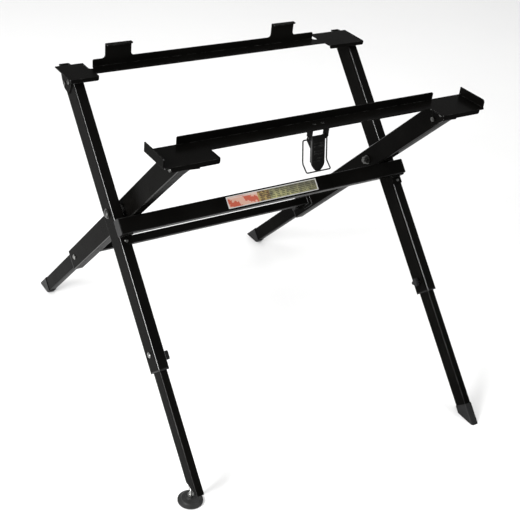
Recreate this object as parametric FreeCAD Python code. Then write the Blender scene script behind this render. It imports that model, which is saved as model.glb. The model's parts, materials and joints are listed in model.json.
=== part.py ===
import FreeCAD, Part
import math
import os

os.makedirs("parts", exist_ok=True)

V = FreeCAD.Vector
X_AXIS = V(1, 0, 0)
Z_AXIS = V(0, 0, 1)

# ------------------------------------------------------------------ overall layout, mm
HEIGHT = 720.0  # floor to the top face of both rails
PIVOT_Z = 482.5  # floor to the pivot bolts
LEG_ANGLE = 46.25  # legs to the floor
OUTER_HALF = 376.0  # centre plane to the outside face of the outer legs
INNER_HALF = 342.0  # centre plane to the outside face of the inner legs
SHEET = 2.5  # rail sheet
SIDES = {"left": -1, "right": 1}

# upper leg tubes, 50 x 25 x 1.5
TUBE_W, TUBE_D, TUBE_T, TUBE_R = 25.0, 50.0, 1.5, 4.0
INSIDE_W, INSIDE_D = TUBE_W - 2 * TUBE_T, TUBE_D - 2 * TUBE_T
LEG_TOP = 370.0  # pivot to past the rails, trimmed to their underside
OUTER_END = 347.0  # pivot to the bottom end of the outer legs' tubes
INNER_END = 390.0  # the same for the inner legs

# telescoping lower legs, 37 x 18 x 1.5, in plastic guides
LOW_W, LOW_D, LOW_T, LOW_R = 18.0, 37.0, 1.5, 3.5
GUIDE_LEN, GUIDE_LIP = 47.0, 3.0
PLUG_LEN, PLUG_CAP = 38.0, 3.0
GUIDE_GAP = 0.3  # lower leg to guide bore, each side
STOP_GAP = 0.3
CAP_T, CAP_LEN, CAP_FLOOR = 1.5, 34.0, 3.0

# fasteners
PIVOT_R, RUN_GAP = 5.0, 0.06
HEAD_SINK = 36.0  # guide screw head above the tube end (outer legs)
INNER_SINK = 27.0
KNOB_RISE = 26.0  # clamp knob above the tube end (outer legs)
INNER_KNOB_RISE = 25.0
SCREW_R = 3.0
KNOB_LOBE, KNOB_REACH = 4.3, 6.4  # lobe radius and its distance from the screw

# cross bars
BAR_TOP, BAR_TALL, BAR_DEEP = 24.2, 35.0, 25.0  # stop bar, below the pivot on the outer legs
BRACE_AT, BRACE_SIZE = 314.0, 20.0  # lower brace, below the pivot on the inner legs
LABEL_HALF, LABEL_TALL, LABEL_T = 120.0, 27.0, 0.3

# draw latch
LATCH_X, RIVET_X, RIVET_Y = -8.0, 10.0, -203.0
RIVET_R, RIVET_HEAD, SINK_DEEP = 2.0, 3.9, 1.7  # rivets are sunk flush with the rail's top

# levelling foot
FOOT_X, FOOT_Y = -363.5, -400.0
FOOT_CUT = 50.0  # floor to the cut end of the leg above the foot
PAD_R, STUD_R = 27.0, 4.0

LEAN = 90.0 - LEG_ANGLE
SIN, COS = math.sin(math.radians(LEG_ANGLE)), math.cos(math.radians(LEG_ANGLE))


# ------------------------------------------------------------------ helpers
def box(x0, x1, y0, y1, z0, z1):
    x0, x1 = sorted((x0, x1))
    y0, y1 = sorted((y0, y1))
    z0, z1 = sorted((z0, z1))
    return Part.makeBox(x1 - x0, y1 - y0, z1 - z0, V(x0, y0, z0))


def rounded(w, d, r, z0, z1):
    """A w x d prism with rounded corners, centred on the Z axis."""
    prism = box(-w / 2, w / 2, -d / 2, d / 2, z0, z1)
    edges = [e for e in prism.Edges if abs(e.Vertexes[0].X - e.Vertexes[1].X) < 1e-6
             and abs(e.Vertexes[0].Y - e.Vertexes[1].Y) < 1e-6]
    return prism.makeFillet(r, edges)


def tube(w, d, t, r, z0, z1):
    return rounded(w, d, r, z0, z1).cut(rounded(w - 2 * t, d - 2 * t, r - t, z0 - 1, z1 + 1))


def cyl_x(x0, x1, r, y=0.0, z=0.0):
    return Part.makeCylinder(r, abs(x1 - x0), V(min(x0, x1), y, z), X_AXIS)


def cyl_z(z0, z1, r, x=0.0, y=0.0):
    return Part.makeCylinder(r, z1 - z0, V(x, y, z0), Z_AXIS)


def hexagon(across, length):
    """A hexagonal prism on the Z axis from 0 to length."""
    r = across / math.sqrt(3)
    points = [V(r * math.cos(math.radians(a)), r * math.sin(math.radians(a)), 0) for a in range(0, 361, 60)]
    return Part.Face(Part.makePolygon(points)).extrude(V(0, 0, length))


def dome(r, h):
    """A button head on the Z axis: flat at 0, domed to h above a short straight rim."""
    rise = h * 0.65
    ball = (r * r + rise * rise) / (2 * rise)
    return Part.makeSphere(ball, V(0, 0, h - ball)).common(cyl_z(0, h, r))


def along_x(shape, direction):
    """Turn a shape built on +Z so that +Z points along direction * X."""
    turned = shape.copy()
    turned.rotate(V(0, 0, 0), V(0, 1, 0), 90 * direction)
    return turned


def moved(shape, x=0.0, y=0.0, z=0.0):
    out = shape.copy()
    out.translate(V(x, y, z))
    return out


def in_frame(shape, frame, x=0.0):
    """Carry a shape from leg axes (Z up the leg, origin at the pivot) into the stand."""
    out = shape.copy()
    out.rotate(V(0, 0, 0), X_AXIS, -LEAN if frame == "outer" else LEAN)
    out.translate(V(x, 0, PIVOT_Z))
    return out


def on_leg(frame, s, n):
    """Y and Z of a point s below the pivot along a leg, n above its centre line."""
    if frame == "outer":
        return -COS * s - SIN * n, PIVOT_Z - SIN * s + COS * n
    return COS * s + SIN * n, PIVOT_Z - SIN * s + COS * n


def plate_yz(points, x0, x1):
    """A flat plate with an outline in Y and Z, from x0 to x1."""
    x0, x1 = sorted((x0, x1))
    wire = Part.makePolygon([V(x0, y, z) for y, z in points + points[:1]])
    return Part.Face(wire).extrude(V(x1 - x0, 0, 0))


def plate_xy(points, z0, z1):
    wire = Part.makePolygon([V(x, y, z0) for x, y in points + points[:1]])
    return Part.Face(wire).extrude(V(0, 0, z1 - z0))


def fillet_at(shape, spots, r, tol=0.6):
    """Round the straight edges whose middles lie near the given points (None is free)."""
    def near(edge, spot):
        c = edge.CenterOfMass
        return all(want is None or abs(have - want) < tol for have, want in zip((c.x, c.y, c.z), spot))

    edges = [e for e in shape.Edges if any(near(e, spot) for spot in spots)]
    return shape.makeFillet(r, edges) if edges else shape


def fuse(shapes):
    out = shapes[0]
    for shape in shapes[1:]:
        out = out.fuse(shape)
    return out.removeSplitter()


def save(name, shapes):
    shape = shapes if not isinstance(shapes, list) else (
        shapes[0] if len(shapes) == 1 else Part.makeCompound(shapes))
    shape.exportStep("parts/%s.step" % name)


FRAMES = {
    "outer": {"half": OUTER_HALF, "end": OUTER_END, "sink": HEAD_SINK, "rise": KNOB_RISE},
    "inner": {"half": INNER_HALF, "end": INNER_END, "sink": INNER_SINK, "rise": INNER_KNOB_RISE},
}
RAIL_BOLTS = {  # rail fastener positions, Y and Z
    "outer": [(197.0, 701.0), (219.0, 690.0)],
    "inner": [(-197.0, 676.0), (-219.0, 697.0)],
}
BOLT_R = 3.0


def leg_centre(frame, side):
    return SIDES[side] * (FRAMES[frame]["half"] - TUBE_W / 2)


# ------------------------------------------------------------------ upper legs
def upper_leg(frame, side):
    f, out = FRAMES[frame], SIDES[side]
    leg = tube(TUBE_W, TUBE_D, TUBE_T, TUBE_R, -f["end"], LEG_TOP)
    leg = leg.cut(cyl_x(-20, 20, PIVOT_R + RUN_GAP))
    leg = leg.cut(cyl_x(0, 20 * out, 3.1, z=-f["end"] + f["sink"]))
    leg = leg.cut(cyl_x(0, -20 * out, SCREW_R + 0.5, z=-f["end"] + f["rise"]))
    leg = in_frame(leg, frame, leg_centre(frame, side))
    leg = leg.cut(box(-900, 900, -900, 900, HEIGHT - SHEET, HEIGHT + 200))
    x = leg_centre(frame, side)
    for y, z in RAIL_BOLTS[frame]:
        leg = leg.cut(cyl_x(x - 20, x + 20, BOLT_R + 0.1, y, z))
    if frame == "outer":
        y, z = on_leg("outer", BAR_TOP + BAR_TALL + 10.5, TUBE_D / 2)
        hole = in_frame(Part.makeCylinder(2.3, 12, V(0, -6, 0), V(0, 1, 0)), "outer")
        leg = leg.cut(moved(hole, x, y, z - PIVOT_Z))
    return leg


for side in SIDES:
    for frame in FRAMES:
        save("%s_leg_%s" % (frame, side), upper_leg(frame, side))


# ------------------------------------------------------------------ guides, lower legs and caps
def guide(frame, side):
    f, out = FRAMES[frame], SIDES[side]
    end, gap = -f["end"], 2 * GUIDE_GAP
    inside = rounded(INSIDE_W - 0.1, INSIDE_D - 0.1, TUBE_R - TUBE_T, end - 1, end + GUIDE_LEN)
    lip = rounded(TUBE_W, TUBE_D, TUBE_R, end - GUIDE_LIP, end)
    bore = rounded(LOW_W + gap, LOW_D + gap, LOW_R + GUIDE_GAP, end - 10, end + GUIDE_LEN + 1)
    body = fuse([inside, lip]).cut(bore)
    body = body.cut(cyl_x(0, 20 * out, 3.1, z=end + f["sink"]))
    body = body.cut(cyl_x(0, -20 * out, SCREW_R + 0.5, z=end + f["rise"]))
    return in_frame(body, frame, leg_centre(frame, side))


for frame in FRAMES:
    save("%s_leg_guides" % frame, [guide(frame, side) for side in SIDES])


def plug_top(frame):
    return FRAMES[frame]["end"] - GUIDE_LEN - STOP_GAP - PLUG_LEN


def slide_plug(frame, side):
    top = -plug_top(frame)
    body = rounded(INSIDE_W - 0.8, INSIDE_D - 0.8, TUBE_R - TUBE_T, top - PLUG_LEN, top)
    body = body.cut(rounded(LOW_W + 0.1, LOW_D + 0.1, LOW_R, top - PLUG_LEN - 1, top - PLUG_CAP))
    return in_frame(body, frame, leg_centre(frame, side))


def lower_leg(frame, side, cut_z):
    top = -plug_top(frame) - PLUG_CAP
    leg = in_frame(tube(LOW_W, LOW_D, LOW_T, LOW_R, -800, top), frame, leg_centre(frame, side))
    return leg.cut(box(-900, 900, -900, 900, -400, cut_z))


def foot_cap(frame, side):
    reach, x = PIVOT_Z / SIN, leg_centre(frame, side)
    outer = rounded(LOW_W + 2 * CAP_T, LOW_D + 2 * CAP_T, LOW_R + CAP_T, -reach - 60, -reach + CAP_LEN)
    cap = in_frame(outer, frame, x).cut(box(-900, 900, -900, 900, -400, 0))
    core = in_frame(rounded(LOW_W + 0.1, LOW_D + 0.1, LOW_R, -reach - 60, -reach + 90), frame, x)
    return cap.cut(core.cut(box(-900, 900, -900, 900, -400, CAP_FLOOR)))


CORNERS = {"front_left": ("outer", "left"), "front_right": ("outer", "right"),
           "rear_left": ("inner", "left"), "rear_right": ("inner", "right")}
for corner, (frame, side) in CORNERS.items():
    level = FOOT_CUT if corner == "front_left" else CAP_FLOOR
    save("lower_leg_%s" % corner, lower_leg(frame, side, level))
    save("slide_plug_%s" % corner, slide_plug(frame, side))
    if corner != "front_left":
        save("foot_cap_%s" % corner, foot_cap(frame, side))


# ------------------------------------------------------------------ guide screws and clamp knobs
def guide_screw(frame, side):
    f, out = FRAMES[frame], SIDES[side]
    head = moved(along_x(dome(6.5, 4.0), out), x=out * TUBE_W / 2)
    shank = cyl_x(out * (TUBE_W / 2 - 2.9), out * TUBE_W / 2, 3.0)
    screw = fuse([head, shank])
    return in_frame(moved(screw, z=-f["end"] + f["sink"]), frame, leg_centre(frame, side))


def weld_nut(frame, side):
    f, inward = FRAMES[frame], -SIDES[side]
    nut = hexagon(10.0, 4.5).cut(cyl_z(-1, 8, SCREW_R + 0.05))
    nut = moved(along_x(nut, inward), x=inward * TUBE_W / 2, z=-f["end"] + f["rise"])
    return in_frame(nut, frame, leg_centre(frame, side))


def clamp_screw(frame, side):
    f, inward = FRAMES[frame], -SIDES[side]
    screw = cyl_x(inward * (LOW_W / 2 + 0.15), inward * (TUBE_W / 2 + 12.0), SCREW_R)
    return in_frame(moved(screw, z=-f["end"] + f["rise"]), frame, leg_centre(frame, side))


def clamp_knob(frame, side):
    f, inward = FRAMES[frame], -SIDES[side]
    start, end = TUBE_W / 2 + 5.0, TUBE_W / 2 + 14.5
    shapes = [cyl_z(start, start + 3.0, 5.5), cyl_z(start + 2.0, end, 7.4)]
    for lobe in range(3):
        angle = math.radians(90 + 120 * lobe)
        x, y = KNOB_REACH * math.cos(angle), KNOB_REACH * math.sin(angle)
        shapes.append(cyl_z(start + 2.0, end, KNOB_LOBE, x, y))
    knob = fuse(shapes)
    rims = [e for e in knob.Edges if abs(e.CenterOfMass.z - end) < 0.01 and e.Length > 3]
    knob = knob.makeFillet(1.0, rims)
    knob = knob.cut(cyl_z(start - 1, TUBE_W / 2 + 12.0, SCREW_R))
    knob = moved(along_x(knob, inward), z=-f["end"] + f["rise"])
    return in_frame(knob, frame, leg_centre(frame, side))


for frame in FRAMES:
    save("%s_guide_screws" % frame, [guide_screw(frame, side) for side in SIDES])
    save("%s_clamp_nuts" % frame, [weld_nut(frame, side) for side in SIDES])
for corner, (frame, side) in CORNERS.items():
    save("clamp_screw_%s" % corner, clamp_screw(frame, side))
    save("clamp_knob_%s" % corner, clamp_knob(frame, side))


# ------------------------------------------------------------------ pivots
def at_pivot(shape):
    return moved(shape, z=PIVOT_Z)


def ring(x0, x1, r, hole):
    return cyl_x(x0, x1, r).cut(cyl_x(min(x0, x1) - 1, max(x0, x1) + 1, hole))


bolts, nuts, spacers, washers = [], [], [], []
WASHER_T, PIVOT_NUT_T, SIDE_GAP = 1.6, 8.0, 0.2
for side, out in SIDES.items():
    a, b = OUTER_HALF, INNER_HALF
    inner_face = b - TUBE_W - SIDE_GAP
    nut_face = inner_face - WASHER_T
    head = moved(along_x(dome(9.0, 5.5), out), x=out * (a + WASHER_T))
    shank = cyl_x(out * (nut_face - PIVOT_NUT_T - 4.0), out * (a + WASHER_T), PIVOT_R)
    bolts.append(at_pivot(fuse([head, shank])))
    nut = hexagon(17.0, PIVOT_NUT_T).cut(cyl_z(-1, 10, PIVOT_R))
    nuts.append(at_pivot(moved(along_x(nut, -out), x=out * nut_face)))
    spacers.append(at_pivot(ring(out * (b + SIDE_GAP), out * (a - TUBE_W), 14.0, PIVOT_R)))
    washers.append(at_pivot(ring(out * a, out * (a + WASHER_T), 11.0, PIVOT_R)))
    washers.append(at_pivot(ring(out * nut_face, out * inner_face, 11.0, PIVOT_R)))
save("pivot_bolts", bolts)
save("pivot_nuts", nuts)
save("pivot_spacers", spacers)
save("pivot_washers", washers)


# ------------------------------------------------------------------ cross bars
BAR_END = BAR_TOP + BAR_TALL
half_d = TUBE_D / 2
bar = tube(BAR_TALL, BAR_DEEP, 1.5, 3.0, -OUTER_HALF, OUTER_HALF)
bar.rotate(V(0, 0, 0), V(0, 1, 0), 90)
bar = moved(bar, y=-half_d - BAR_DEEP / 2, z=-BAR_TOP - BAR_TALL / 2)
save("stop_bar", in_frame(bar, "outer"))


def bar_plug(out):
    stem = rounded(BAR_TALL - 3.1, BAR_DEEP - 3.1, 1.4, -14, 1)
    cap = rounded(BAR_TALL, BAR_DEEP, 3.0, 0, 2.0)
    plug = along_x(fuse([stem, cap]), out)
    plug = moved(plug, x=out * OUTER_HALF, y=-half_d - BAR_DEEP / 2, z=-BAR_TOP - BAR_TALL / 2)
    return in_frame(plug, "outer")


save("stop_bar_plugs", [bar_plug(out) for out in SIDES.values()])


def bar_bracket(side):
    out = SIDES[side]
    outer, inner = out * (OUTER_HALF - 1.0), out * (OUTER_HALF - TUBE_W)
    front = -half_d
    parts = [box(inner, outer, front - 3, front, -BAR_END - 19, -BAR_END),
             box(inner, outer, front - 20, front, -BAR_END - 3, -BAR_END),
             box(inner, inner - out * 2.5, front - 3, front + 18, -BAR_END - 19, -BAR_END)]
    hole = Part.makeCylinder(2.1, 10, V(leg_centre("outer", side), front - 6, -BAR_END - 10.5), V(0, 1, 0))
    return in_frame(fuse(parts).cut(hole), "outer")


def bar_screw(side):
    screw = fuse([dome(4.2, 2.6), cyl_z(-7, 0.5, 2.0)])
    screw.rotate(V(0, 0, 0), X_AXIS, 90)
    return in_frame(moved(screw, leg_centre("outer", side), -half_d - 3, -BAR_END - 10.5), "outer")


save("stop_bar_brackets", [bar_bracket(side) for side in SIDES])
save("stop_bar_screws", [bar_screw(side) for side in SIDES])

label_y = -half_d - BAR_DEEP
label = box(-LABEL_HALF, LABEL_HALF, label_y - LABEL_T, label_y,
            -BAR_TOP - (BAR_TALL + LABEL_TALL) / 2, -BAR_TOP - (BAR_TALL - LABEL_TALL) / 2)
save("bar_label", in_frame(label, "outer"))

brace_half = INNER_HALF - TUBE_W
brace = tube(BRACE_SIZE, BRACE_SIZE, 1.5, 2.5, -brace_half + 2.5, brace_half - 2.5)
brace.rotate(V(0, 0, 0), V(0, 1, 0), 90)
flanges = [box(out * brace_half, out * (brace_half - 3), -17, 17, -21, 21) for out in SIDES.values()]
save("lower_brace", in_frame(moved(fuse([brace] + flanges), z=-BRACE_AT), "inner"))


# ------------------------------------------------------------------ rails
TOP, UNDER = HEIGHT, HEIGHT - SHEET


def rail_from(outline, extras, rounds):
    rail = plate_xy(outline, UNDER, TOP)
    rail = fillet_at(rail, [(x, y, None) for x, y in rounds], 5.5)
    return fuse([rail] + extras)


def up_edge(x0, x1, y0, y1, height, corner=3.0):
    """A strip of sheet standing up from the rail, with rounded upper corners."""
    strip = box(x0, x1, y0, y1, UNDER, TOP + height)
    return fillet_at(strip, [(x, None, TOP + height) for x in (x0, x1)], corner)


FRONT_REAR, FRONT_STEP, FRONT_EDGE = -185.0, -226.0, -267.0
PLATE_OUT, PLATE_IN = 392.0, 273.0
front_outline = [(-PLATE_OUT, FRONT_REAR), (PLATE_OUT, FRONT_REAR), (PLATE_OUT, FRONT_EDGE),
                 (PLATE_IN, FRONT_EDGE), (PLATE_IN, FRONT_STEP), (-PLATE_IN, FRONT_STEP),
                 (-PLATE_IN, FRONT_EDGE), (-PLATE_OUT, FRONT_EDGE)]
front_extras = [up_edge(-325, 308, FRONT_REAR - SHEET, FRONT_REAR, 16.5)]
for out in SIDES.values():
    flange = box(out * (PLATE_OUT - SHEET), out * PLATE_OUT, FRONT_EDGE + 5, FRONT_REAR, UNDER, TOP + 17)
    flange = fillet_at(flange, [(None, FRONT_EDGE + 5, TOP + 17)], 6.0)
    lip = box(out * (PLATE_IN + 2), out * (PLATE_OUT - 15), FRONT_EDGE, FRONT_EDGE + SHEET, TOP - 10.5, TOP)
    lip = fillet_at(lip, [(out * x, None, TOP - 10.5) for x in (PLATE_IN + 2, PLATE_OUT - 15)], 4.0)
    face = out * (INNER_HALF - TUBE_W)
    tab = plate_yz([(-190, TOP - 1), (-190, 686), (-196, 656), (-226, 684), (-262, 704), (-262, TOP - 1)],
                   face, face - out * SHEET)
    for y, z in RAIL_BOLTS["inner"]:
        tab = tab.cut(cyl_x(face - 5, face + 5, BOLT_R + 0.1, y, z))
    front_extras += [flange, lip, tab]
front_rail = rail_from(front_outline, front_extras,
                       [(out * PLATE_IN, FRONT_STEP) for out in SIDES.values()]
                       + [(out * PLATE_OUT, FRONT_EDGE) for out in SIDES.values()]
                       + [(out * PLATE_IN, FRONT_EDGE) for out in SIDES.values()])
for x in (LATCH_X - RIVET_X, LATCH_X + RIVET_X):
    front_rail = front_rail.cut(cyl_z(UNDER - 1, TOP + 1, RIVET_R + 0.1, x, RIVET_Y))
    sink = Part.makeCone(RIVET_R + 0.1, RIVET_HEAD + 0.1, SINK_DEEP, V(x, RIVET_Y, TOP - SINK_DEEP))
    front_rail = front_rail.cut(sink)
save("front_rail", front_rail)

REAR_BACK, REAR_STEP, REAR_FRONT = 243.0, 183.0, 162.0
REAR_LEFT, REAR_RIGHT = (-390.0, -322.0), (281.0, 385.0)  # end plates, X
rear_outline = [(REAR_LEFT[0], REAR_BACK), (-326.0, REAR_BACK), (-326.0, 208.0), (-314.0, 208.0),
                (-314.0, 218.5), (265.0, 218.5), (265.0, 208.0), (279.0, 208.0), (279.0, REAR_BACK),
                (REAR_RIGHT[1], REAR_BACK), (REAR_RIGHT[1], REAR_FRONT), (REAR_RIGHT[0], REAR_FRONT),
                (REAR_RIGHT[0], REAR_STEP), (REAR_LEFT[1], REAR_STEP), (REAR_LEFT[1], REAR_FRONT),
                (REAR_LEFT[0], REAR_FRONT)]
UPSTAND_Y = 216.0
rear_extras = [up_edge(-314, 265, UPSTAND_Y, UPSTAND_Y + SHEET, 16.0)]
HOOKS = [(-285.0, -223.0), (143.0, 205.0)]
HOOK_TOP = TOP + 49.0
for x0, x1 in HOOKS:
    web = box(x0 - 8, x1 + 8, UPSTAND_Y, UPSTAND_Y + SHEET, TOP + 8, HOOK_TOP)
    for x, step in ((x0, -1), (x1, 1)):
        notch = box(x, x + step * 20, UPSTAND_Y - 1, UPSTAND_Y + SHEET + 1, TOP + 16, HOOK_TOP + 1)
        notch = fillet_at(notch, [(x, None, TOP + 16)], 7.9)
        web = web.cut(notch)
    lip = box(x0, x1, UPSTAND_Y - 9, UPSTAND_Y + SHEET, HOOK_TOP - SHEET, HOOK_TOP)
    lip = fillet_at(lip, [(x0, UPSTAND_Y - 9, None), (x1, UPSTAND_Y - 9, None)], 3.0)
    rear_extras += [web, lip]
for out, (x0, x1) in ((-1, REAR_LEFT), (1, REAR_RIGHT)):
    lip = box(x0 + 2, x1 - 2, REAR_FRONT, REAR_FRONT + SHEET, TOP - 9, TOP)
    lip = fillet_at(lip, [(x, None, TOP - 9) for x in (x0 + 2, x1 - 2)], 4.0)
    face = out * OUTER_HALF
    tab = plate_yz([(184, TOP - 1), (184, 696), (197, 674), (218, 678), (227, 686), (234, 697), (240, 711),
                    (241, TOP - 1)], face, face + out * SHEET)
    for y, z in RAIL_BOLTS["outer"]:
        tab = tab.cut(cyl_x(face - 5, face + 5, BOLT_R + 0.1, y, z))
    rear_extras += [lip, tab]
rear_rounds = [(-326, 208), (-314, 208), (265, 208), (279, 208)]
for x0, x1 in (REAR_LEFT, REAR_RIGHT):
    rear_rounds += [(x0, REAR_FRONT), (x1, REAR_FRONT)]
rear_rounds += [(REAR_LEFT[1], REAR_STEP), (REAR_RIGHT[0], REAR_STEP)]
rear_rail = rail_from(rear_outline, rear_extras, rear_rounds)
save("rear_rail", rear_rail)


def rail_bolt(frame, side, y, z):
    """A through bolt with a dome head on the outside of the leg."""
    out = SIDES[side]
    half = FRAMES[frame]["half"]
    head_at = half + (SHEET if frame == "outer" else 0)
    tail_at = half - TUBE_W - (0 if frame == "outer" else SHEET)
    head = moved(along_x(dome(5.5, 3.2), out), x=out * head_at)
    shank = cyl_x(out * (tail_at - 4.5), out * head_at, BOLT_R)
    return moved(fuse([head, shank]), y=y, z=z)


def rail_nut(frame, side, y, z):
    out = SIDES[side]
    tail_at = FRAMES[frame]["half"] - TUBE_W - (0 if frame == "outer" else SHEET)
    nut = hexagon(10.0, 3.6).cut(cyl_z(-1, 5, BOLT_R))
    return moved(along_x(nut, -out), out * tail_at, y, z)


for frame, rail in (("outer", "rear"), ("inner", "front")):
    spots = [(side, y, z) for side in SIDES for y, z in RAIL_BOLTS[frame]]
    save("%s_rail_bolts" % rail, [rail_bolt(frame, *spot) for spot in spots])
    save("%s_rail_nuts" % rail, [rail_nut(frame, *spot) for spot in spots])


# ------------------------------------------------------------------ draw latch under the front rail
EAR_IN, EAR_OUT = 19.1, 21.3
PIN_Y, PIN_Z, PIN_R = -206.0, 692.0, 2.0
LEVER_HALF, LEVER_T, LEVER_LEAN = 18.7, 2.0, 9.7
BAIL_AT = (8.5, -6.0)  # bail axis from the pin, Y and Z, before the lever leans
WIRE_R = 1.5

base = [box(-25, 25, -217, -192, UNDER - 2, UNDER)]
for out in SIDES.values():
    base.append(box(out * EAR_IN, out * EAR_OUT, -214, -197, PIN_Z + 1, UNDER - 1))
    base.append(cyl_x(out * EAR_IN, out * EAR_OUT, 6.5, PIN_Y, PIN_Z))
base = fuse(base).cut(cyl_x(-30, 30, PIN_R, PIN_Y, PIN_Z))
for x in (-RIVET_X, RIVET_X):
    base = base.cut(cyl_z(UNDER - 5, TOP, RIVET_R + 0.1, x, RIVET_Y))
save("latch_base", moved(base, x=LATCH_X))
rivets = []
for x in (-RIVET_X, RIVET_X):
    under = dome(3.5, 1.5)
    under.rotate(V(0, 0, 0), X_AXIS, 180)
    head = Part.makeCone(RIVET_R, RIVET_HEAD, SINK_DEEP, V(0, 0, TOP - SINK_DEEP))
    rivet = fuse([head, cyl_z(UNDER - 2, TOP, RIVET_R), moved(under, z=UNDER - 2)])
    rivets.append(moved(rivet, LATCH_X + x, RIVET_Y))
save("latch_rivets", rivets)
save("latch_pin", moved(cyl_x(-EAR_OUT - 1.5, EAR_OUT + 1.5, PIN_R, PIN_Y, PIN_Z), x=LATCH_X))

FACE_Y = -5.5  # lever face in front of the pin
channel = rounded(2 * LEVER_HALF, 40, 6.0, -80, 10)
channel = channel.cut(rounded(2 * (LEVER_HALF - LEVER_T), 40 - 2 * LEVER_T, 4.0, -81, 11))
channel = moved(channel, y=FACE_Y + 20)
cheek = plate_yz([(-6, 4.5), (3.5, 4.5), (12, -3.5), (12, -8), (-1.0, -22), (-1.0, -50), (-3.5, -54),
                  (-3.5, -80), (-6, -80)], -30, 30)
half_outline = [(20, 5), (20, -50), (18.7, -52), (15.5, -59), (11, -66), (6, -70.8), (1.5, -72.3)]
outline = half_outline + [(-x, z) for x, z in reversed(half_outline)]
front = Part.Face(Part.makePolygon([V(x, -20, z) for x, z in outline + outline[:1]])).extrude(V(0, 60, 0))
lever = channel.common(cheek).common(front)
ribs = [box(-11.5, 11.5, FACE_Y - 1.0, FACE_Y + 0.5, z, z + 2.6) for z in (-14, -20, -30, -36, -46, -52)]
lever = fuse([lever] + ribs).cut(cyl_x(-30, 30, PIN_R + 0.05))
lever = lever.cut(cyl_x(-30, 30, WIRE_R + 0.06, *BAIL_AT))
lever.rotate(V(0, 0, 0), X_AXIS, -LEVER_LEAN)
save("latch_lever", moved(lever, LATCH_X, PIN_Y, PIN_Z))

lean = math.radians(LEVER_LEAN)
bail_y = PIN_Y + BAIL_AT[0] * math.cos(lean) + BAIL_AT[1] * math.sin(lean)
bail_z = PIN_Z - BAIL_AT[0] * math.sin(lean) + BAIL_AT[1] * math.cos(lean)
arm = [(15.5, bail_y, bail_z), (28.0, bail_y, bail_z), (30.0, bail_y - 0.3, bail_z - 2),
       (30.0, -207.0, 640.0), (30.0, -209.5, 635.0), (30.0, -224.2, 624.0), (28.0, -225.5, 623.0)]
path = [V(x, y, z) for x, y, z in arm] + [V(-x, y, z) for x, y, z in reversed(arm)]
pieces = [Part.makeCylinder(WIRE_R, (q - p).Length, p, q - p) for p, q in zip(path, path[1:])]
pieces += [Part.makeSphere(WIRE_R, p) for p in path[1:-1]]
save("latch_bail", moved(fuse(pieces), x=LATCH_X))


# ------------------------------------------------------------------ levelling foot
core = in_frame(rounded(LOW_W - 2 * LOW_T, LOW_D - 2 * LOW_T, LOW_R - LOW_T, -800, -300),
                "outer", leg_centre("outer", "left"))
insert = core.common(box(-500, 0, -600, 0, FOOT_CUT, 72.0))
insert = insert.cut(cyl_z(0, 200, STUD_R + 0.06, FOOT_X, FOOT_Y))
save("foot_insert", insert)
nut = hexagon(13.0, 6.5).cut(cyl_z(-1, 8, STUD_R + 0.06))
save("foot_nut", moved(nut, FOOT_X, FOOT_Y, FOOT_CUT - 6.5))
stud = fuse([cyl_z(3.0, 74.0, STUD_R), moved(hexagon(12.0, 5.0), z=14.3)])
save("foot_stud", moved(stud, FOOT_X, FOOT_Y))
pad_profile = [(0, 0), (24.5, 0), (PAD_R, 2.0), (PAD_R, 4.5), (21.5, 7.0), (19.5, 8.5), (19.0, 10.0),
               (10.5, 11.5), (9.5, 14.0), (0, 14.0), (0, 0)]
pad = Part.Face(Part.makePolygon([V(x, 0, z) for x, z in pad_profile])).revolve(V(0, 0, 0), Z_AXIS, 360)
pad = pad.cut(cyl_z(2.9, 20, STUD_R + 0.06))
save("foot_pad", moved(pad, FOOT_X, FOOT_Y))
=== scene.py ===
"""Looks for the folding tool stand: materials, small surface pieces, studio and camera."""

import json
import math
import random

import bpy
from mathutils import Matrix, Vector


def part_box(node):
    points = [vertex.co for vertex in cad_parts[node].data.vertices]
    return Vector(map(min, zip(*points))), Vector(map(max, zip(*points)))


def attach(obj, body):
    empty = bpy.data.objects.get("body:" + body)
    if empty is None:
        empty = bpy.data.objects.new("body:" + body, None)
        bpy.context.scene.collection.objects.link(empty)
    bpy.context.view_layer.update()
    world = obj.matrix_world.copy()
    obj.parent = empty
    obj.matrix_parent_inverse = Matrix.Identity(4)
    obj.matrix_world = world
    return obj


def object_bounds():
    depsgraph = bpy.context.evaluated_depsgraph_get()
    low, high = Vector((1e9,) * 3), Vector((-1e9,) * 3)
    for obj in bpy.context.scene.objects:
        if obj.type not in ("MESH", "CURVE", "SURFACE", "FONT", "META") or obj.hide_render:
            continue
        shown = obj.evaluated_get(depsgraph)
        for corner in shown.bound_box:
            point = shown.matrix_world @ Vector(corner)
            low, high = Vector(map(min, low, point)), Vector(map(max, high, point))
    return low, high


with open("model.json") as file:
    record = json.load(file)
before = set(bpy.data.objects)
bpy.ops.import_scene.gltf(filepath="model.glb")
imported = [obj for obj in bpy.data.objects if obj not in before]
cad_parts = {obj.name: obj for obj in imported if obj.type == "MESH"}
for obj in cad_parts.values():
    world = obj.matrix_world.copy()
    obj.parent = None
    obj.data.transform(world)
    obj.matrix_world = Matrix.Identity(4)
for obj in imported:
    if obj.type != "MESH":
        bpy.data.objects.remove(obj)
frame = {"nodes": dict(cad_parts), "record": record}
cad_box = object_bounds()
MM = 0.001

# ------------------------------------------------------------------ shader helpers
# A flat face's normal has 1.0 as its largest part along the three axes the face is square to.
# Half way round a rounded corner that is 0.71. The corner's shine fades between these values.
CORNER_FADE = (0.74, 0.93)
# The cosine between a face's normal and the normal it has when the edge is softened.
EDGE_FADE = (0.75, 0.98)


def scaled(tone, factor):
    return tuple(c * factor for c in tone)


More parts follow.
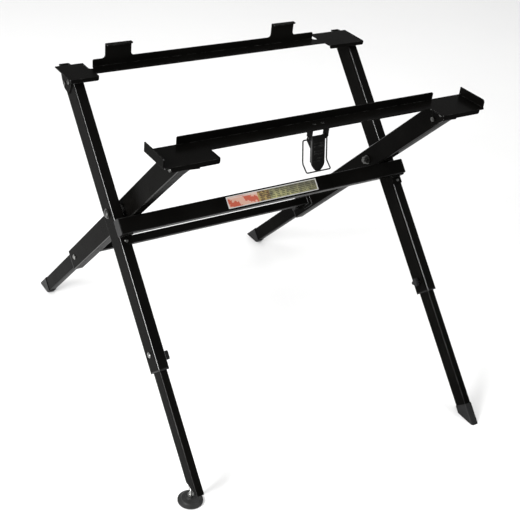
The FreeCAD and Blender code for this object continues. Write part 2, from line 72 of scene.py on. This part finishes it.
class Graph:
    """A material with a Principled shader, and short calls that add the nodes feeding it."""

    def __init__(self, name):
        self.material = bpy.data.materials.new(name)
        self.material.use_nodes = True
        self.tree = self.material.node_tree
        self.shader = self.tree.nodes["Principled BSDF"]
        surface = self.tree.nodes.new("ShaderNodeTexCoord")
        self.coords, self.normals = surface.outputs["Object"], surface.outputs["Normal"]

    def node(self, kind, **settings):
        made = self.tree.nodes.new(kind)
        for key, value in settings.items():
            setattr(made, key, value)
        return made

    def link(self, source, target):
        self.tree.links.new(source, target)

    def feed(self, socket, value):
        """Link another node's output to the socket, or set a plain value on it."""
        if isinstance(value, bpy.types.NodeSocket):
            self.link(value, socket)
        else:
            socket.default_value = value

    def shade(self, **values):
        """Feed the shader's sockets. An underscore stands for a space in the socket's name."""
        for key, value in values.items():
            self.feed(self.shader.inputs[key.replace("_", " ")], value)

    def separate_coords(self):
        split = self.node("ShaderNodeSeparateXYZ")
        self.link(self.coords, split.inputs["Vector"])
        return split.outputs["X"], split.outputs["Y"], split.outputs["Z"]

    def noise(self, scale, detail=4.0, rough=0.55, stretch=None):
        """Noise from 0 to 1; scale counts its features per metre."""
        coords = self.coords
        if stretch:
            mapping = self.node("ShaderNodeMapping")
            mapping.inputs["Scale"].default_value = stretch
            self.link(coords, mapping.inputs["Vector"])
            coords = mapping.outputs["Vector"]
        made = self.node("ShaderNodeTexNoise")
        self.link(coords, made.inputs["Vector"])
        made.inputs["Scale"].default_value = scale
        made.inputs["Detail"].default_value = detail
        made.inputs["Roughness"].default_value = rough
        return made.outputs["Fac"]

    def ramp(self, value, stops, interpolation="LINEAR"):
        made = self.node("ShaderNodeValToRGB")
        made.color_ramp.interpolation = interpolation
        elements = made.color_ramp.elements
        while len(elements) < len(stops):
            elements.new(0.5)
        for element, (place, colour) in zip(elements, stops):
            element.position = place
            element.color = (*colour, 1.0)
        self.link(value, made.inputs["Fac"])
        return made.outputs["Color"]

    def remap(self, value, to, between=(0.0, 1.0)):
        """Spread the values in between over to, and hold them at its ends outside."""
        made = self.node("ShaderNodeMapRange")
        for key, number in zip(("From Min", "From Max", "To Min", "To Max"), (*between, *to)):
            made.inputs[key].default_value = number
        self.link(value, made.inputs["Value"])
        return made.outputs["Result"]

    def calc(self, operation, a, b=0.0):
        made = self.node("ShaderNodeMath", operation=operation)
        self.feed(made.inputs[0], a)
        self.feed(made.inputs[1], b)
        return made.outputs["Value"]

    def times(self, first, *others):
        for other in others:
            first = self.calc("MULTIPLY", first, other)
        return first

    def window(self, value, low_edge, high_edge):
        """1 where the value lies between the edges, 0 elsewhere."""
        above = self.calc("GREATER_THAN", value, low_edge)
        return self.times(above, self.calc("LESS_THAN", value, high_edge))

    def mix(self, factor, a, b):
        made = self.node("ShaderNodeMix", data_type="RGBA")
        self.feed(made.inputs["Factor"], factor)
        self.feed(made.inputs["A"], (*a, 1.0) if isinstance(a, tuple) else a)
        self.feed(made.inputs["B"], (*b, 1.0) if isinstance(b, tuple) else b)
        return made.outputs["Result"]

    def bump(self, height, strength, distance, under=None):
        """A normal from the height, laid over the normal under it."""
        made = self.node("ShaderNodeBump")
        made.inputs["Strength"].default_value = strength
        made.inputs["Distance"].default_value = distance
        self.link(height, made.inputs["Height"])
        if under is not None:
            self.link(under, made.inputs["Normal"])
        return made.outputs["Normal"]

    def corners(self, axes):
        """1 half way round a rounded corner between faces square to these axes, 0 on the faces."""
        flat = None
        for axis in axes:
            dot = self.node("ShaderNodeVectorMath", operation="DOT_PRODUCT")
            self.link(self.normals, dot.inputs[0])
            dot.inputs[1].default_value = axis
            size = self.calc("ABSOLUTE", dot.outputs["Value"])
            flat = size if flat is None else self.calc("MAXIMUM", flat, size)
        return self.remap(flat, to=(1.0, 0.0), between=CORNER_FADE)

    def edges(self, radius):
        """1 on sharp outside and inside edges, 0 on flat faces."""
        soft = self.node("ShaderNodeBevel", samples=4)
        soft.inputs["Radius"].default_value = radius
        geometry = self.node("ShaderNodeNewGeometry")
        dot = self.node("ShaderNodeVectorMath", operation="DOT_PRODUCT")
        self.link(soft.outputs["Normal"], dot.inputs[0])
        self.link(geometry.outputs["Normal"], dot.inputs[1])
        return self.remap(dot.outputs["Value"], to=(1.0, 0.0), between=EDGE_FADE)


# ------------------------------------------------------------------ materials
LEAN = math.radians(46.25)  # legs to the floor
# Three axes square to each other: those of the rails, and those of the legs of each frame. For a
# frame they run along x, across the legs and along the legs.
SQUARE = ((1, 0, 0), (0, 1, 0), (0, 0, 1))
WITH_OUTER = ((1, 0, 0), (0, -math.sin(LEAN), math.cos(LEAN)), (0, math.cos(LEAN), math.sin(LEAN)))
WITH_INNER = ((1, 0, 0), (0, math.sin(LEAN), math.cos(LEAN)), (0, math.cos(LEAN), -math.sin(LEAN)))
# Specular levels below real paint's, so that faces beside a white floor stay nearly black.
FLAT_SHEEN, CORNER_SHEEN, DULL_CORNER = 0.008, 0.5, 0.10
# Pale grey laid on the paint's edges and rounded corners: partly wear, partly painted highlight.
WEAR_AND_HIGHLIGHT_GREY = (0.13, 0.13, 0.125)
EDGE_WEAR_AND_HIGHLIGHT_WIDTH, SCUFFED_EDGE = 1.2 * MM, 0.9 * MM
CORNER_WEAR_AND_HIGHLIGHT_SHARE = 0.35  # pale line on a rounded corner, partly wear and partly painted highlight, as a share of a sharp edge's


def black_paint(name, tone, rough, wear_and_highlight, axes=SQUARE, corner_sheen=CORNER_SHEEN):
    """Powder coat: fine orange peel, uneven gloss; rounded corners shine, and edges and rounded
    corners are painted paler, partly as wear and partly as painted highlight.
    """
    g = Graph(name)
    corner = g.corners(axes)
    # Sharp edges are painted paler in patches: partly wear, partly painted highlight along them.
    edge_wear_and_highlight_spots = g.remap(g.noise(60.0), to=(0.0, wear_and_highlight), between=(0.42, 0.72))
    edge_wear_and_highlight = g.times(g.edges(EDGE_WEAR_AND_HIGHLIGHT_WIDTH), edge_wear_and_highlight_spots)
    # Rounded corners get a thinner, broken pale line: partly wear, partly a painted highlight for
    # the light along them.
    corner_wear_and_highlight = g.remap(g.noise(25.0, 5.0), to=(0.0, wear_and_highlight * CORNER_WEAR_AND_HIGHLIGHT_SHARE), between=(0.45, 0.75))
    # Both pale marks together, edges and corners: wear and painted highlight.
    pale_wear_and_highlight = g.calc("MAXIMUM", edge_wear_and_highlight, g.times(corner, corner_wear_and_highlight))
    base = g.ramp(g.noise(9.0, 3.0), [(0.35, scaled(tone, 0.75)), (0.65, scaled(tone, 1.3))])
    gloss = g.noise(35.0, 6.0, 0.7)
    peel = g.bump(g.noise(420.0, 2.0), strength=0.10, distance=0.3 * MM)
    g.shade(Base_Color=g.mix(pale_wear_and_highlight, base, WEAR_AND_HIGHLIGHT_GREY),
            Specular_IOR_Level=g.remap(corner, to=(FLAT_SHEEN, corner_sheen)),
            Roughness=g.remap(gloss, to=(rough - 0.05, rough + 0.10), between=(0.3, 0.75)),
            Normal=g.bump(g.noise(2400.0, 2.0), strength=0.05, distance=0.1 * MM, under=peel))
    return g.material


def thread_ridge(g, x, y, pitch, lowest):
    """The height of a screw thread round the upright axis at x, y, above the lowest z."""
    across, deep, tall = g.separate_coords()
    round_axis = g.calc("ARCTAN2", g.calc("SUBTRACT", deep, y), g.calc("SUBTRACT", across, x))
    turns = g.calc("SUBTRACT", g.calc("DIVIDE", tall, pitch),
                   g.calc("DIVIDE", round_axis, 2 * math.pi))
    return g.times(g.calc("PINGPONG", turns, 0.5), g.calc("GREATER_THAN", tall, lowest))


def zinc(name, tone, rough, thread=None):
    """Plated steel with turning marks and dull spots; thread is what thread_ridge takes after g."""
    g = Graph(name)
    spots = g.remap(g.noise(260.0, 5.0, 0.65), to=(0.0, 1.0), between=(0.45, 0.7))
    turned = g.noise(900.0, 3.0, 0.6, stretch=(4.0, 1.0, 1.0))
    normal = g.bump(turned, strength=0.08, distance=0.2 * MM)
    if thread:
        normal = g.bump(thread_ridge(g, *thread), strength=1.0, distance=1.4 * MM, under=normal)
    g.shade(Base_Color=g.mix(spots, tone, scaled(tone, 0.72)), Metallic=1.0,
            Roughness=g.remap(turned, to=(rough - 0.07, rough + 0.14), between=(0.3, 0.7)),
            Normal=normal)
    return g.material


def moulded(name, tone, rough, grain, sheen=0.12):
    """Moulded plastic or rubber: fine grain, scuffs on its edges and uneven sheen."""
    g = Graph(name)
    scuff_spots = g.remap(g.noise(120.0), to=(0.0, 0.6), between=(0.4, 0.7))
    scuff = g.times(g.edges(SCUFFED_EDGE), scuff_spots)
    mottle = g.remap(g.noise(45.0), to=(0.0, 1.0), between=(0.35, 0.65))
    base = g.mix(mottle, tone, scaled(tone, 1.35))
    gloss = g.noise(90.0, 5.0)
    g.shade(Base_Color=g.mix(scuff, base, scaled(tone, 3.0)), Specular_IOR_Level=sheen,
            Roughness=g.remap(gloss, to=(rough - 0.08, rough + 0.1), between=(0.3, 0.7)),
            Normal=g.bump(g.noise(1500.0, 3.0), strength=grain, distance=0.3 * MM))
    return g.material


# The label's inks, then its fields. Places on the label run from -1 to 1, left to right and up.
RED, OCHRE, OLIVE = (0.33, 0.060, 0.030), (0.11, 0.060, 0.018), (0.085, 0.082, 0.052)
PALE_OLIVE, DARK_OLIVE, GOLD = (0.34, 0.33, 0.13), (0.045, 0.045, 0.03), (0.33, 0.24, 0.07)
PINK, PALE_BAND, RIM = (0.46, 0.32, 0.25), (0.42, 0.38, 0.35), (0.40, 0.40, 0.385)
RULED, END_LINE = (0.016, 0.016, 0.011), (0.03, 0.03, 0.025)
RED_END, OLIVE_START = -0.34, -0.08
RIM_ACROSS, RIM_UP = 0.98, 0.86


def bar_label():
    """A plain printed label with no lettering: a pale rim, coloured fields and fine ruled bars."""
    g = Graph("label_print")
    low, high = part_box("bar_label")
    centre, half_width = (low + high) / 2, (high.x - low.x) / 2
    half_height = math.hypot(high.y - low.y, high.z - low.z) / 2
    slope = Vector((high.y - low.y, high.z - low.z)).normalized()
    x, y, z = g.separate_coords()
    across = g.calc("DIVIDE", x, half_width)
    up = g.calc("ADD", g.times(g.calc("SUBTRACT", y, centre.y), slope.x / half_height),
                g.times(g.calc("SUBTRACT", z, centre.z), slope.y / half_height))

    def layer(under, mask, strength, ink):
        return g.mix(g.times(mask, strength), under, ink)

    fields = [(0.0, RED), ((1 + RED_END) / 2, OCHRE), ((1 + OLIVE_START) / 2, OLIVE)]
    art = g.ramp(g.remap(across, to=(0.0, 1.0), between=(-1.0, 1.0)), fields, "CONSTANT")
    blotch = g.noise(60.0, 5.0, 0.7)

    # Olive field: paler to the left, with dark blotches.
    in_olive = g.window(across, OLIVE_START, 1.0)
    leftward = g.remap(g.calc("ADD", across, up), to=(1.0, 0.0), between=(-0.9, 1.2))
    pale = g.remap(blotch, to=(0.3, 1.0), between=(0.35, 0.6))
    dark = g.remap(blotch, to=(0.6, 0.0), between=(0.35, 0.5))
    art = layer(art, g.times(in_olive, leftward), pale, PALE_OLIVE)
    art = layer(art, in_olive, dark, DARK_OLIVE)

    # Red field: slanted ragged patches and a pale band.
    in_red = g.window(across, -1.0, RED_END)
    slant = g.calc("PINGPONG", g.calc("ADD", g.times(across, 4.2), up), 1.0)
    ragged = g.times(g.noise(75.0, 3.0, 0.6), 2.2)
    patches = g.window(g.calc("ADD", slant, ragged), 1.58, 4.0)
    art = layer(art, g.times(in_red, patches), 0.75, PINK)
    art = layer(art, g.times(in_red, g.window(up, 0.55, 0.8)), 0.6, PALE_BAND)

    # Ochre field: gold blotches.
    gold = g.times(g.window(across, RED_END, OLIVE_START), g.window(blotch, 0.5, 1.0))
    art = layer(art, gold, 0.6, GOLD)

    # Broken ruled bars over the ochre and olive fields, and a line near the right end.
    rows = g.window(g.calc("PINGPONG", g.calc("ADD", up, 1.0), 0.15), 0.075, 0.2)
    breaks = g.calc("GREATER_THAN", g.noise(110.0, 2.0, 0.5, stretch=(1.0, 0.3, 0.3)), 0.44)
    art = layer(art, g.times(rows, breaks, g.window(across, -0.3, 0.93)), 0.8, RULED)
    art = layer(art, g.window(across, 0.94, 0.955), 0.8, END_LINE)

    inside = g.times(g.window(across, -RIM_ACROSS, RIM_ACROSS), g.window(up, -RIM_UP, RIM_UP))
    g.shade(Base_Color=g.mix(inside, RIM, art), Specular_IOR_Level=0.2,
            Roughness=g.remap(g.noise(30.0), to=(0.22, 0.38)),
            Normal=g.bump(g.noise(300.0, 3.0), strength=0.06, distance=0.2 * MM))
    return g.material


def pale_floor():
    g = Graph("floor_paper")
    g.shade(Base_Color=g.mix(g.noise(1.5, 3.0), (0.78, 0.78, 0.78), (0.81, 0.81, 0.805)),
            Roughness=0.75,
            Normal=g.bump(g.noise(600.0, 2.0), strength=0.02, distance=0.3 * MM))
    return g.material


PAINT = ((0.0021, 0.0020, 0.0018), 0.22, 0.5)  # tone, roughness, strength of the pale edges and corners: partly wear, partly painted highlight
PLATE = ((0.27, 0.27, 0.262), 0.20)  # tone, roughness
LOOKS = {
    "black_paint": black_paint("gloss_black_coat", *PAINT),
    "latch_black": black_paint("latch_coat", (0.0045, 0.0045, 0.0043), rough=0.36, wear_and_highlight=0.6),
    "wire_black": moulded("wire_coat", (0.0030, 0.0030, 0.0030), rough=0.34, grain=0.04),
    "zinc_steel": zinc("zinc_plate", *PLATE),
    "dark_fasteners": zinc("dark_plate", (0.085, 0.085, 0.082), rough=0.30),
    "black_plastic": moulded("cap_plastic", (0.0060, 0.0060, 0.0062), rough=0.42, grain=0.10),
    "foot_rubber": moulded("foot_rubber", (0.010, 0.010, 0.0096), 0.40, grain=0.16, sheen=0.22),
    "label_film": bar_label(),
}

# On leaning tubes the paint's rounded corners are found in the frame's own axes.
OUTER_GLOSSY = black_paint("outer_tube_coat", *PAINT, WITH_OUTER)
INNER_GLOSSY = black_paint("inner_tube_coat", *PAINT, WITH_INNER)
OUTER_DULL = black_paint("outer_foot_coat", *PAINT, WITH_OUTER, DULL_CORNER)
INNER_DULL = black_paint("inner_foot_coat", *PAINT, WITH_INNER, DULL_CORNER)
STUD_PITCH, COLLAR_TOP = 1.5 * MM, 19.5 * MM
stud_low, stud_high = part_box("foot_stud")
STUD_THREAD = ((stud_low.x + stud_high.x) / 2, (stud_low.y + stud_high.y) / 2,
               STUD_PITCH, COLLAR_TOP)
NODE_LOOKS = {
    "outer_leg_left": OUTER_GLOSSY,
    "outer_leg_right": OUTER_GLOSSY,
    "inner_leg_left": INNER_GLOSSY,
    "inner_leg_right": INNER_GLOSSY,
    "stop_bar": OUTER_DULL,
    "stop_bar_brackets": OUTER_DULL,
    "lower_leg_front_left": OUTER_DULL,
    "lower_leg_front_right": OUTER_DULL,
    "lower_brace": INNER_DULL,
    "lower_leg_rear_left": INNER_DULL,
    "lower_leg_rear_right": INNER_DULL,
    "foot_stud": zinc("stud_thread_plate", *PLATE, STUD_THREAD),
}

SLOT_OF = {part["node"]: part["material_slot"] for part in frame["record"]["subparts"]}
for node, obj in frame["nodes"].items():
    obj.data.materials.clear()
    obj.data.materials.append(NODE_LOOKS.get(node, LOOKS[SLOT_OF[node]]))

# ------------------------------------------------------------------ small surface pieces
# Weld beads, threads and the rims of driver sockets. Each rides on the body that carries it.
PIVOT_Z = 482.5 * MM
OUTER_X, INNER_X = 376.0 * MM, 342.0 * MM  # outside faces of the outer and inner legs
TUBE_W, TUBE_D = 25.0 * MM, 50.0 * MM  # the leg tube's narrow and wide sides
BEAD_R, BEAD_STEP, BEAD_SIDES = 1.3 * MM, 0.6 * MM, 8
RIDGE, TURN_STEPS = 0.35 * MM, 24  # height of a thread's ridge, steps in one turn
SOCKET_SIDES = 6


def add_mesh(name, verts, faces, body, slot, smooth=True):
    mesh = bpy.data.meshes.new(name)
    mesh.from_pydata([tuple(v) for v in verts], [], faces)
    mesh.update()
    for polygon in mesh.polygons:
        polygon.use_smooth = smooth
    obj = bpy.data.objects.new(name, mesh)
    bpy.context.scene.collection.objects.link(obj)
    mesh.materials.append(LOOKS[slot])
    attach(obj, body)


def round_about(axis):
    """A function from an angle to the direction that lies that far round the axis."""
    u = axis.orthogonal().normalized()
    v = axis.normalized().cross(u)
    return lambda angle: math.cos(angle) * u + math.sin(angle) * v


def weld_bead(name, runs, body):
    """Painted weld beads along straight runs: rippled, uneven, and thin at both ends."""
    dice = random.Random(name)
    verts, faces = [], []
    for start, end in runs:
        along = end - start
        count = max(3, round(along.length / BEAD_STEP))
        outward = round_about(along)
        first = len(verts)
        for k in range(count + 1):
            taper = min(1.0, 0.3 + k * 0.35, 0.3 + (count - k) * 0.35)
            ripple = 0.86 + 0.10 * abs(math.sin(k * 1.05)) + 0.08 * dice.random()
            radius = BEAD_R * taper * ripple
            centre = start + along * (k / count)
            for step in range(BEAD_SIDES):
                verts.append(centre + radius * outward(2 * math.pi * step / BEAD_SIDES))
        for k in range(count):
            row = first + k * BEAD_SIDES
            for step in range(BEAD_SIDES):
                a, b = row + step, row + (step + 1) % BEAD_SIDES
                faces.append((a, b, b + BEAD_SIDES, a + BEAD_SIDES))
        last = first + count * BEAD_SIDES
        faces.append(tuple(range(first + BEAD_SIDES - 1, first - 1, -1)))
        faces.append(tuple(range(last, last + BEAD_SIDES)))
    add_mesh(name, verts, faces, body, "black_paint")


def screw_thread(name, base, axis, radius, length, pitch, body, slot):
    """A helical ridge round a shank, from base along axis."""
    outward = round_about(axis)
    verts, faces = [], []
    for k in range(round(length / pitch * TURN_STEPS) + 1):
        rise = pitch * k / TURN_STEPS
        direction = outward(2 * math.pi * k / TURN_STEPS)
        for offset, r in ((-pitch / 2, radius), (0.0, radius + RIDGE), (pitch / 2, radius)):
            height = min(max(rise + offset, 0.0), length)
            verts.append(base + axis * height + direction * r)
        if k:
            a = 3 * (k - 1)
            faces += [(a, a + 3, a + 4, a + 1), (a + 1, a + 4, a + 5, a + 2)]
    add_mesh(name, verts, faces, body, slot)


def socket_face(name, crown, axis, across, body, slot):
    """The rim of a driver socket, a hair proud of the head's crown; its floor is hidden below."""
    outward = round_about(axis)
    radius = across / math.sqrt(3)
    rings = ((-0.6 * MM, radius), (0.04 * MM, radius),
             (0.04 * MM, radius * 0.8), (-0.1 * MM, radius * 0.75))
    verts = [crown + axis * lift + r * outward(2 * math.pi * k / SOCKET_SIDES)
             for lift, r in rings for k in range(SOCKET_SIDES)]
    faces = []
    for row in range(0, 3 * SOCKET_SIDES, SOCKET_SIDES):
        for k in range(SOCKET_SIDES):
            a, b = row + k, row + (k + 1) % SOCKET_SIDES
            faces.append((a, b, b + SOCKET_SIDES, a + SOCKET_SIDES))
    faces.append(tuple(range(3 * SOCKET_SIDES, 4 * SOCKET_SIDES)))
    add_mesh(name, verts, faces, body, slot, smooth=False)


def rectangle(centre, half_a, half_b, a, b):
    """The four sides of a rectangle round centre, as runs."""
    signs = ((-1, -1), (1, -1), (1, 1), (-1, 1))
    corners = [centre + a * half_a * sa + b * half_b * sb for sa, sb in signs]
    return list(zip(corners, corners[1:] + corners[:1]))


def middle_of(node):
    low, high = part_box(node)
    return (low + high) / 2


inner_across, inner_along = (Vector(axis) for axis in WITH_INNER[1:])
outer_across, outer_along = (Vector(axis) for axis in WITH_OUTER[1:])
brace = middle_of("lower_brace")
FLANGE_T, FLANGE_ACROSS, FLANGE_ALONG = 3 * MM, 17 * MM, 21 * MM  # thickness and half sizes
BRACE_HALF = 10 * MM
# The bracket's weld: down the leg from the pivot, out from its face, in from its outside.
BRACKET_DOWN, BRACKET_FRONT, BRACKET_IN = 59.2 * MM, 20 * MM, 2 * MM
PIVOT_NUT_T, PIVOT_SHANK_R, PIVOT_TAIL, PIVOT_PITCH = 8 * MM, 5.02 * MM, 3.8 * MM, 1.5 * MM
PIVOT_SOCKET, GUIDE_SOCKET = 6 * MM, 4 * MM  # across flats

nut_reach, head_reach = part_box("pivot_nuts")[1].x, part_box("pivot_bolts")[1].x
under_bar = (Vector((0, 0, PIVOT_Z)) - outer_along * BRACKET_DOWN
             + outer_across * (TUBE_D / 2 + BRACKET_FRONT))
for side, out in (("left", -1), ("right", 1)):
    toward = Vector((out, 0, 0))

    leg_face = Vector((out * (INNER_X - TUBE_W), brace.y, brace.z))
    flange_face = leg_face - toward * FLANGE_T
    weld_bead(f"brace_leg_weld_{side}",
              rectangle(leg_face, FLANGE_ACROSS, FLANGE_ALONG, inner_across, inner_along),
              "inner_frame")
    weld_bead(f"brace_flange_weld_{side}",
              rectangle(flange_face, BRACE_HALF, BRACE_HALF, inner_across, inner_along),
              "inner_frame")
    bracket_run = tuple(under_bar + toward * x for x in (OUTER_X - TUBE_W, OUTER_X - BRACKET_IN))
    weld_bead(f"bracket_weld_{side}", [bracket_run], "outer_frame")

    nut_face = Vector((out * (nut_reach - PIVOT_NUT_T), 0, PIVOT_Z))
    screw_thread(f"pivot_thread_{side}", nut_face, -toward, PIVOT_SHANK_R, PIVOT_TAIL, PIVOT_PITCH,
                 "outer_frame", "dark_fasteners")
    socket_face(f"pivot_socket_{side}", Vector((out * head_reach, 0, PIVOT_Z)), toward,
                PIVOT_SOCKET, "outer_frame", "dark_fasteners")
    for leg in ("outer", "inner"):
        low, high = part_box(f"{leg}_guide_screws")
        crown = Vector((out * high.x, (low.y + high.y) / 2, (low.z + high.z) / 2))
        socket_face(f"{leg}_screw_socket_{side}", crown, toward, GUIDE_SOCKET, f"{leg}_frame",
                    "dark_fasteners")

# ------------------------------------------------------------------ studio
STAND_MIDDLE = (0.0, 0.0, 0.4)
LIGHTS = (  # name, place, aimed at, width and height, watts
    ("overhead", (0.2, 0.6, 4.0), (0.2, 0.6, 0.0), (7.0, 6.0), 130.0),
    ("left_strip", (-3.0, -0.9, 1.5), STAND_MIDDLE, (0.60, 2.4), 190.0),
    ("front_softbox", (2.0, -2.6, 3.0), STAND_MIDDLE, (1.2, 1.2), 25.0),
)
SURROUND_LIGHT = 0.62
FLOOR_SIZE, FLOOR_GAP = 40.0, 0.2 * MM

bpy.ops.mesh.primitive_plane_add(size=FLOOR_SIZE, location=(0.0, 0.0, cad_box[0][2] - FLOOR_GAP))
floor = bpy.context.object
floor.name = "floor"
floor.data.materials.append(pale_floor())

for name, place, aim, size, power in LIGHTS:
    data = bpy.data.lights.new(name, "AREA")
    data.shape = "RECTANGLE"
    data.size, data.size_y = size
    data.energy = power
    lamp = bpy.data.objects.new(name, data)
    lamp.location = place
    lamp.rotation_euler = (Vector(aim) - Vector(place)).to_track_quat("-Z", "Y").to_euler()
    bpy.context.scene.collection.objects.link(lamp)

world = bpy.data.worlds.new("studio")
bpy.context.scene.world = world
world.use_nodes = True
world.node_tree.nodes["Background"].inputs["Color"].default_value = (1.0, 1.0, 1.0, 1.0)
world.node_tree.nodes["Background"].inputs["Strength"].default_value = SURROUND_LIGHT
bpy.context.scene.view_settings.view_transform = "Standard"

# ------------------------------------------------------------------ camera
EYE = Vector((-1.179, -1.6947, 1.5607))
YAW, PITCH, ROLL = (math.radians(a) for a in (35.52, 31.92, 6.47))
LENS, SENSOR, FAR_CLIP = 70.15, 36.0, 100.0  # mm, mm, m

ahead = Vector((math.sin(YAW) * math.cos(PITCH), math.cos(YAW) * math.cos(PITCH), -math.sin(PITCH)))
level = Vector((math.cos(YAW), -math.sin(YAW), 0.0))
upward = level.cross(ahead)
right = math.cos(ROLL) * level + math.sin(ROLL) * upward
top = -math.sin(ROLL) * level + math.cos(ROLL) * upward
camera_data = bpy.data.cameras.new("camera")
camera_data.lens, camera_data.sensor_width = LENS, SENSOR
camera_data.clip_end = FAR_CLIP
camera = bpy.data.objects.new("camera", camera_data)
bpy.context.scene.collection.objects.link(camera)
turn = Matrix((right, top, -ahead)).transposed().to_4x4()
camera.matrix_world = Matrix.Translation(EYE) @ turn
bpy.context.scene.camera = camera
